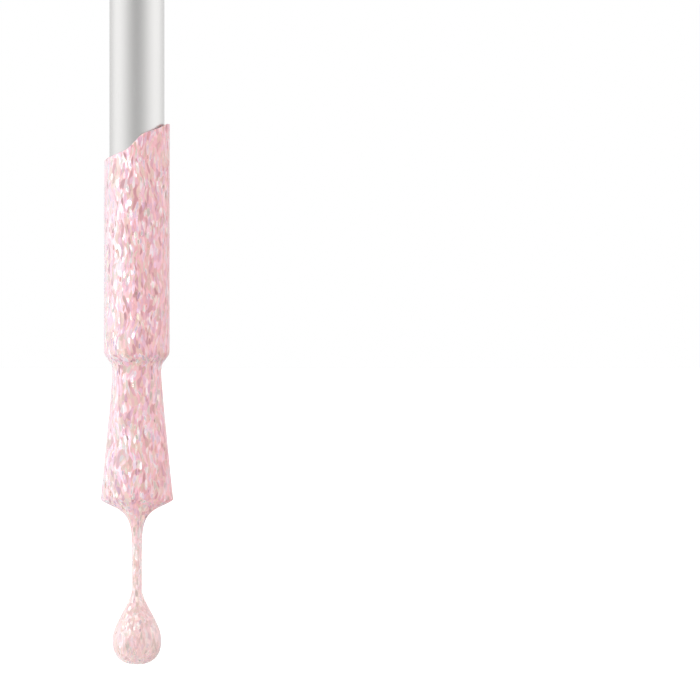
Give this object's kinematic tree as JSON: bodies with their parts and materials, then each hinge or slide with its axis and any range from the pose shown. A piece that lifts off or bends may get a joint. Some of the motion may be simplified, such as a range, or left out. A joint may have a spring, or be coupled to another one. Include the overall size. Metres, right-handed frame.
{
  "type": "twist-feed nail gel brush pen",
  "caption": "Slim twist-feed pen whose metal stem carries a flat brush coated in pink glitter nail gel, with a drop hanging from its tip.",
  "frame": {"origin": "middle of the barrel's grip, on the pen's axis", "axes": "+Z along the pen from the brush to the twist knob, +Y through the brush's thickness away from the front, +X across the brush's width"},
  "size_m": [0.011, 0.011, 0.1134],
  "materials": {
    "barrel_lacquer": "pearl lacquer with fine flake",
    "satin_metal": "satin",
    "stem_metal": "satin drawn tube",
    "nail_gel": "wet, glitter filled",
    "nylon_bristle": "fine filaments",
    "white_acetal": "moulded",
    "grey_acetal": "moulded",
    "clear_polypropylene": "translucent, moulded",
    "seal_rubber": "smooth"
  },
  "bodies": {
    "housing": {"barrel": "barrel_lacquer", "trim_band": "satin_metal", "nose_cone": "satin_metal", "stem_gland": "white_acetal", "stem_tube": "stem_metal", "feed_tube": "white_acetal", "tuft_anchor": "white_acetal", "stem_gel_film": "nail_gel", "reservoir": "clear_polypropylene", "outlet_seal": "seal_rubber", "gel_charge": "nail_gel", "drive_nut": "white_acetal", "ratchet_ring": "grey_acetal", "rear_bushing": "white_acetal"},
    "knob": {"twist_knob": "satin_metal", "end_plug": "barrel_lacquer", "drive_hub": "grey_acetal", "hub_seal": "seal_rubber", "thrust_washer": "stem_metal"},
    "screw": {"lead_screw": "white_acetal"},
    "plunger": {"piston": "white_acetal", "piston_front_seal": "seal_rubber", "piston_rear_seal": "seal_rubber"},
    "brush": {"bristle_tuft": "nylon_bristle", "brush_gel_film": "nail_gel"},
    "drop": {"gel_drop": "nail_gel"}
  },
  "joints": [
    {"name": "piston_advance", "type": "slide", "parent": "housing", "child": "plunger", "axis": [0, 0, -1], "range_m": [0, 0.02], "deforming": ["gel_charge"]},
    {"name": "knob_turn", "type": "hinge", "parent": "housing", "child": "knob", "pos_m": [0, 0, 0.0243], "axis": [0, 0, -1], "range_deg": [0, 1800.2]},
    {"name": "screw_advance", "type": "slide", "parent": "knob", "child": "screw", "axis": [0, 0, -1], "range_m": [0, 0.02001]},
    {"name": "brush_flex", "type": "hinge", "parent": "housing", "child": "brush", "pos_m": [0, 0, -0.058], "axis": [1, 0, 0], "range_deg": [-30, 30], "stiffness_Nm_per_rad": 0.0006},
    {"name": "drop_swing", "type": "hinge", "parent": "brush", "child": "drop", "pos_m": [0, 0, -0.0668], "axis": [1, 0, 0], "range_deg": [-30.1, 30.1]}
  ],
  "couplings": [
    {"joint": "knob_turn", "follows": "piston_advance", "rad_per_m": 1570.8},
    {"joint": "screw_advance", "follows": "piston_advance", "ratio": 1},
    {"joint": "drop_swing", "follows": "brush_flex", "ratio": -1}
  ]
}
